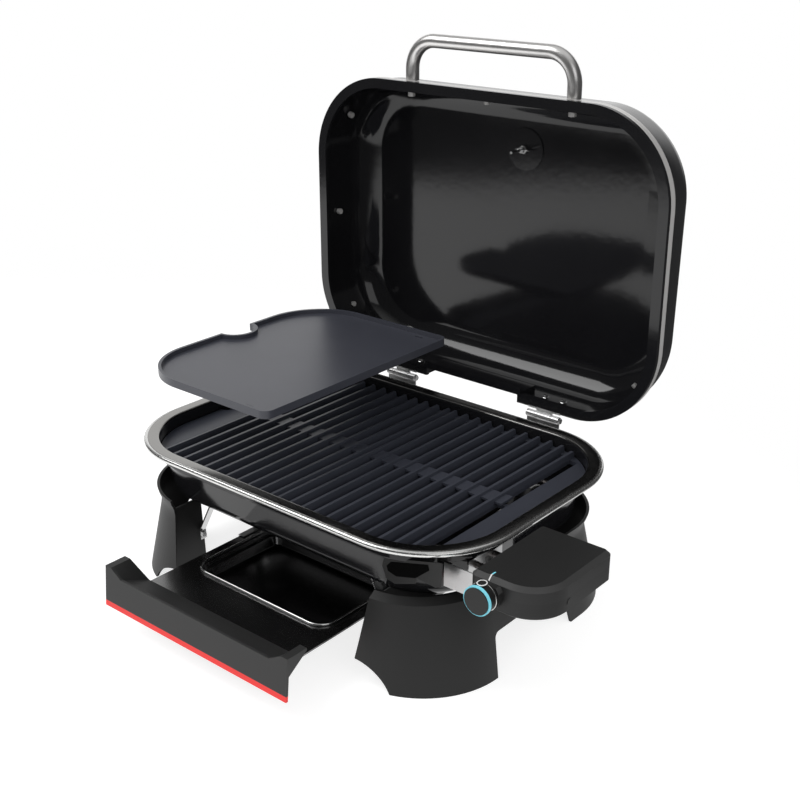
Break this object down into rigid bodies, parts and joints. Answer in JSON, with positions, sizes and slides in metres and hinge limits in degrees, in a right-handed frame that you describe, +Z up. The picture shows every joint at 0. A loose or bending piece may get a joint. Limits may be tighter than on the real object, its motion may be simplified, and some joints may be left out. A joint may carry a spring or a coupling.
{
  "type": "electric barbecue grill",
  "caption": "Tabletop electric barbecue grill: oval-cornered cook box on moulded leg frames, hinged domed lid, cast grates, lift-off griddle, slide-out drip tray and side control box.",
  "frame": {"origin": "on the table, below the middle of the cook box", "axes": "+X towards the control box, -Y towards the front where the tray slides out, +Z up"},
  "size_m": [0.6529, 0.629, 0.657],
  "materials": {
    "black_enamel": "glossy black enamel",
    "cast_grate": "matt enamelled cast iron",
    "cast_griddle": "matt enamelled cast iron",
    "black_plastic": "matt moulded plastic",
    "fascia_plastic": "matt moulded plastic",
    "red_stripe": "satin red",
    "steel": "brushed",
    "bright_steel": "polished",
    "dark_steel": "satin dark coating",
    "pan_steel": "satin dark coating",
    "knob_blue": "satin light blue",
    "white_mark": "satin white",
    "dial_face": "satin white enamel",
    "needle_red": "satin red",
    "lens_glass": "clear",
    "element_sheath": "heat-darkened steel",
    "rubber_part": "matt rubber"
  },
  "bodies": {
    "root": {"control_arm": "black_plastic", "control_lower": "black_plastic", "control_upper": "black_plastic", "cook_box": "black_enamel", "cord_gland": "rubber_part", "corner_bracket": "black_enamel", "element_plate": "steel", "element_straps": "steel", "heating_element": "element_sheath", "hinge_lower_leaves": "steel", "hinge_pins": "bright_steel", "housing_screws": "bright_steel", "index_mark": "white_mark", "left_leg_frame": "black_plastic", "left_rail": "steel", "leg_screws": "bright_steel", "leg_stays": "bright_steel", "right_leg_frame": "black_plastic", "right_rail": "steel", "rim_band": "bright_steel", "side_plug": "black_plastic", "steel_shield": "steel", "terminal_block": "white_mark", "thermostat": "dark_steel"},
    "lid": {"handle_bolts": "bright_steel", "hinge_bolts": "bright_steel", "hinge_nuts": "bright_steel", "hinge_upper_leaves": "steel", "lid_dome": "black_enamel", "lid_handle": "steel", "lid_rim": "black_enamel", "lid_trim": "bright_steel", "thermometer_case": "bright_steel", "thermometer_dial": "dial_face", "thermometer_disc": "black_enamel", "thermometer_lens": "lens_glass", "thermometer_wing_nut": "bright_steel"},
    "needle": {"thermometer_needle": "needle_red"},
    "knob": {"knob": "black_plastic", "knob_cap": "black_plastic", "knob_ring": "knob_blue"},
    "griddle": {"griddle": "cast_griddle"},
    "left_grate": {"left_grate": "cast_grate"},
    "right_grate": {"right_grate": "cast_grate"},
    "tray": {"fascia_screws": "bright_steel", "fascia_stripe": "red_stripe", "tray_fascia": "fascia_plastic", "tray_plate": "dark_steel"},
    "drip_pan": {"drip_pan": "pan_steel"}
  },
  "joints": [
    {"name": "lid_hinge", "type": "hinge", "parent": "root", "child": "lid", "pos_m": [0, 0.213, 0.183], "axis": [-1, 0, 0], "range_deg": [-90, 0]},
    {"name": "needle_turn", "type": "hinge", "parent": "lid", "child": "needle", "pos_m": [0.01, 0.3, 0.509], "axis": [0, 1, 0], "range_deg": [0, 240]},
    {"name": "knob_turn", "type": "hinge", "parent": "root", "child": "knob", "pos_m": [0.307, -0.17, 0.158], "axis": [0, 1, 0], "range_deg": [0, 270]},
    {"name": "griddle_lift", "type": "slide", "parent": "root", "child": "griddle", "axis": [0, 0, 1], "range_m": [-0.094, 0]},
    {"name": "left_grate_lift", "type": "slide", "parent": "root", "child": "left_grate", "axis": [0, 0, 1], "range_m": [0, 0.035]},
    {"name": "right_grate_lift", "type": "slide", "parent": "root", "child": "right_grate", "axis": [0, 0, 1], "range_m": [0, 0.035]},
    {"name": "drip_tray_slide", "type": "slide", "parent": "root", "child": "tray", "axis": [0, -1, 0], "range_m": [-0.107, 0]},
    {"name": "drip_pan_lift", "type": "slide", "parent": "tray", "child": "drip_pan", "axis": [0, 0, 1], "range_m": [0, 0.012]}
  ]
}
